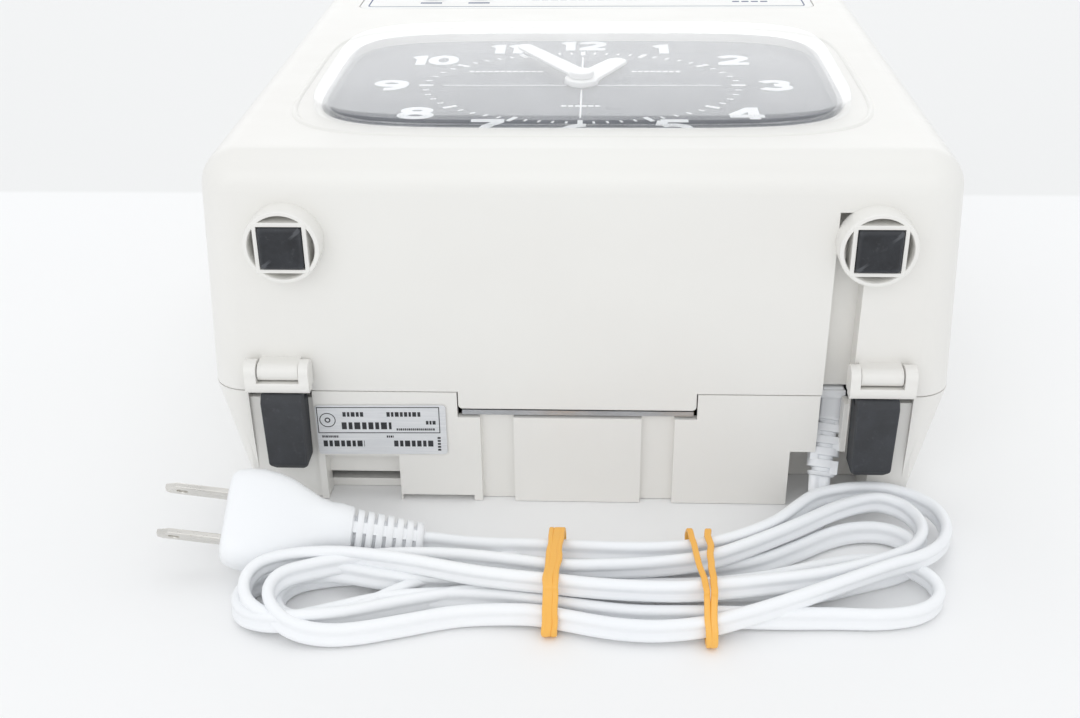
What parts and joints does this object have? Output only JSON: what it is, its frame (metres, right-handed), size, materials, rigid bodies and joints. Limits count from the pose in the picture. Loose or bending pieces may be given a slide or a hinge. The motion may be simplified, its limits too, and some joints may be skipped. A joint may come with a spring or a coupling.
{
  "type": "punch time clock",
  "caption": "Desk punch time clock lying on its back: hinged casing with a domed clear dial lens, card slot, feet, card feed and printer inside, bundled mains cord with plug.",
  "frame": {"origin": "middle of the clock's footprint on the table, on the plane of the case's back", "axes": "the clock lies on its back: +Z out of the dial, +Y towards the card slot end, +X towards the cord outlet side (the right of the dial)"},
  "size_m": [0.2181, 0.2943, 0.1105],
  "materials": {
    "ivory": "satin moulded",
    "white_plastic": "satin",
    "rubber": "matt",
    "steel": "plated sheet",
    "clear": "clear acrylic",
    "dial_print": "printed",
    "label_foil": "brushed foil",
    "circuit_board": "solder mask",
    "dark_plastic": "matt",
    "brass": "cut",
    "amber_rubber": "translucent",
    "copper_coil": "taped winding",
    "grey_plastic": "satin",
    "lamp_green": "clear",
    "motor_can": "zinc plated",
    "core_iron": "varnished laminations",
    "printed_panel": "satin film",
    "nickel": "plated"
  },
  "bodies": {
    "rear_housing": {"rear_cover": "ivory", "chassis_plate": "steel", "main_board": "circuit_board", "transformer_core": "core_iron", "transformer_winding": "copper_coil", "rating_label": "label_foil", "hinge_pin_left": "steel", "hinge_pin_right": "steel", "rear_foot_left": "rubber", "rear_foot_right": "rubber", "case_screw_1": "steel", "case_screw_2": "steel", "case_screw_3": "steel", "case_screw_4": "steel", "strain_relief": "grey_plastic", "chute_back": "steel", "chute_front": "steel", "frame_left": "steel", "frame_right": "steel", "feed_motor": "motor_can", "motor_bracket": "steel", "guide_rod": "steel", "carriage_motor": "motor_can", "cassette_tray": "steel", "ribbon_cassette": "dark_plastic", "dial_bracket": "steel", "clock_movement": "dark_plastic", "dial_plate": "dial_print", "cord_lead": "white_plastic", "cord_hank": "white_plastic", "cord_tail": "white_plastic", "cord_band_left": "amber_rubber", "cord_band_right": "amber_rubber", "plug_body": "white_plastic", "plug_blade_lower": "nickel", "plug_blade_upper": "nickel"},
    "front_case": {"front_cover": "ivory", "front_foot_left": "rubber", "front_foot_right": "rubber", "dial_lens": "clear", "control_panel": "printed_panel", "card_slot_bezel": "dark_plastic", "power_lamp": "lamp_green", "button_board": "circuit_board"},
    "in_key": {"in_button": "grey_plastic"},
    "out_key": {"out_button": "grey_plastic"},
    "lock": {"lock_cylinder": "steel"},
    "feed_shaft": {"feed_roller": "rubber", "feed_gear": "white_plastic"},
    "pinion": {"feed_pinion": "brass"},
    "pinch_shaft": {"pinch_roller": "rubber"},
    "carriage": {"print_carriage": "dark_plastic"},
    "screw": {"carriage_screw": "steel"},
    "ribbon_drive": {"ribbon_knob": "white_plastic"},
    "minute": {"minute_hand": "white_plastic"},
    "hour": {"hour_hand": "white_plastic"}
  },
  "joints": [
    {"name": "cover_hinge", "type": "hinge", "parent": "rear_housing", "child": "front_case", "pos_m": [0, -0.1099, 0.045], "axis": [1, 0, 0], "range_deg": [0, 75]},
    {"name": "in_press", "type": "slide", "parent": "front_case", "child": "in_key", "axis": [0, 0, -1], "range_m": [0, 0.0014], "stiffness_N_per_m": 400, "springref_m": -0.001},
    {"name": "out_press", "type": "slide", "parent": "front_case", "child": "out_key", "axis": [0, 0, -1], "range_m": [0, 0.0014], "stiffness_N_per_m": 400, "springref_m": -0.001},
    {"name": "lock_turn", "type": "hinge", "parent": "front_case", "child": "lock", "pos_m": [0.078, 0.1058, 0.072], "axis": [0, 1, 0], "range_deg": [0, 90]},
    {"name": "minute_spin", "type": "hinge", "parent": "rear_housing", "child": "minute", "pos_m": [0, -0.0298, 0.105], "axis": [0, 0, -1], "continuous": true},
    {"name": "hour_spin", "type": "hinge", "parent": "rear_housing", "child": "hour", "pos_m": [0, -0.0298, 0.105], "axis": [0, 0, -1], "continuous": true},
    {"name": "carriage_slide", "type": "slide", "parent": "rear_housing", "child": "carriage", "axis": [1, 0, 0], "range_m": [-0.03, 0.03]},
    {"name": "screw_turn", "type": "hinge", "parent": "rear_housing", "child": "screw", "pos_m": [0, 0.0538, 0.072], "axis": [1, 0, 0], "range_deg": [-541, 541]},
    {"name": "feed_turn", "type": "hinge", "parent": "rear_housing", "child": "feed_shaft", "pos_m": [0, 0.0438, 0.046], "axis": [1, 0, 0], "continuous": true},
    {"name": "pinion_turn", "type": "hinge", "parent": "rear_housing", "child": "pinion", "pos_m": [0.06, 0.0278, 0.058], "axis": [1, 0, 0], "continuous": true},
    {"name": "pinch_turn", "type": "hinge", "parent": "rear_housing", "child": "pinch_shaft", "pos_m": [0, 0.0438, 0.0604], "axis": [1, 0, 0], "continuous": true},
    {"name": "ribbon_turn", "type": "hinge", "parent": "rear_housing", "child": "ribbon_drive", "pos_m": [0.03, 0.0178, 0.084], "axis": [0, 0, 1], "continuous": true}
  ],
  "couplings": [
    {"joint": "hour_spin", "follows": "minute_spin", "ratio": 0.083333},
    {"joint": "pinion_turn", "follows": "feed_turn", "ratio": -2},
    {"joint": "screw_turn", "follows": "carriage_slide", "rad_per_m": 314.16}
  ]
}
